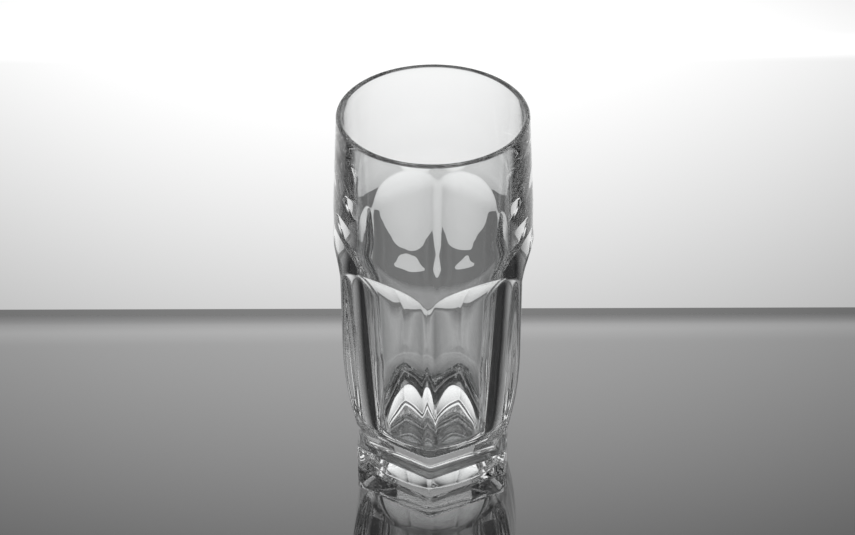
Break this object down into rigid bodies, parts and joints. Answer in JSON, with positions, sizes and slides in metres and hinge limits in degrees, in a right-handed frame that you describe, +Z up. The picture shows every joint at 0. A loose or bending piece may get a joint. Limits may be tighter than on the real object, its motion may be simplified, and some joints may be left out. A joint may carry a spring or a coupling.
{
  "type": "crystal tumbler",
  "caption": "Tall pressed-glass tumbler: round rim, hexagonal cut panels ending in arched scoops, and a grooved hexagonal foot plate.",
  "frame": {"origin": "middle of the flat ring that the tumbler stands on", "axes": "+Z up along the tumbler's axis to the rim; one corner of the hexagonal body faces -Y"},
  "size_m": [0.073, 0.0744, 0.151],
  "materials": {
    "clear_glass": "fire-polished clear glass"
  },
  "bodies": {
    "root": {"tumbler": "clear_glass"}
  },
  "joints": []
}
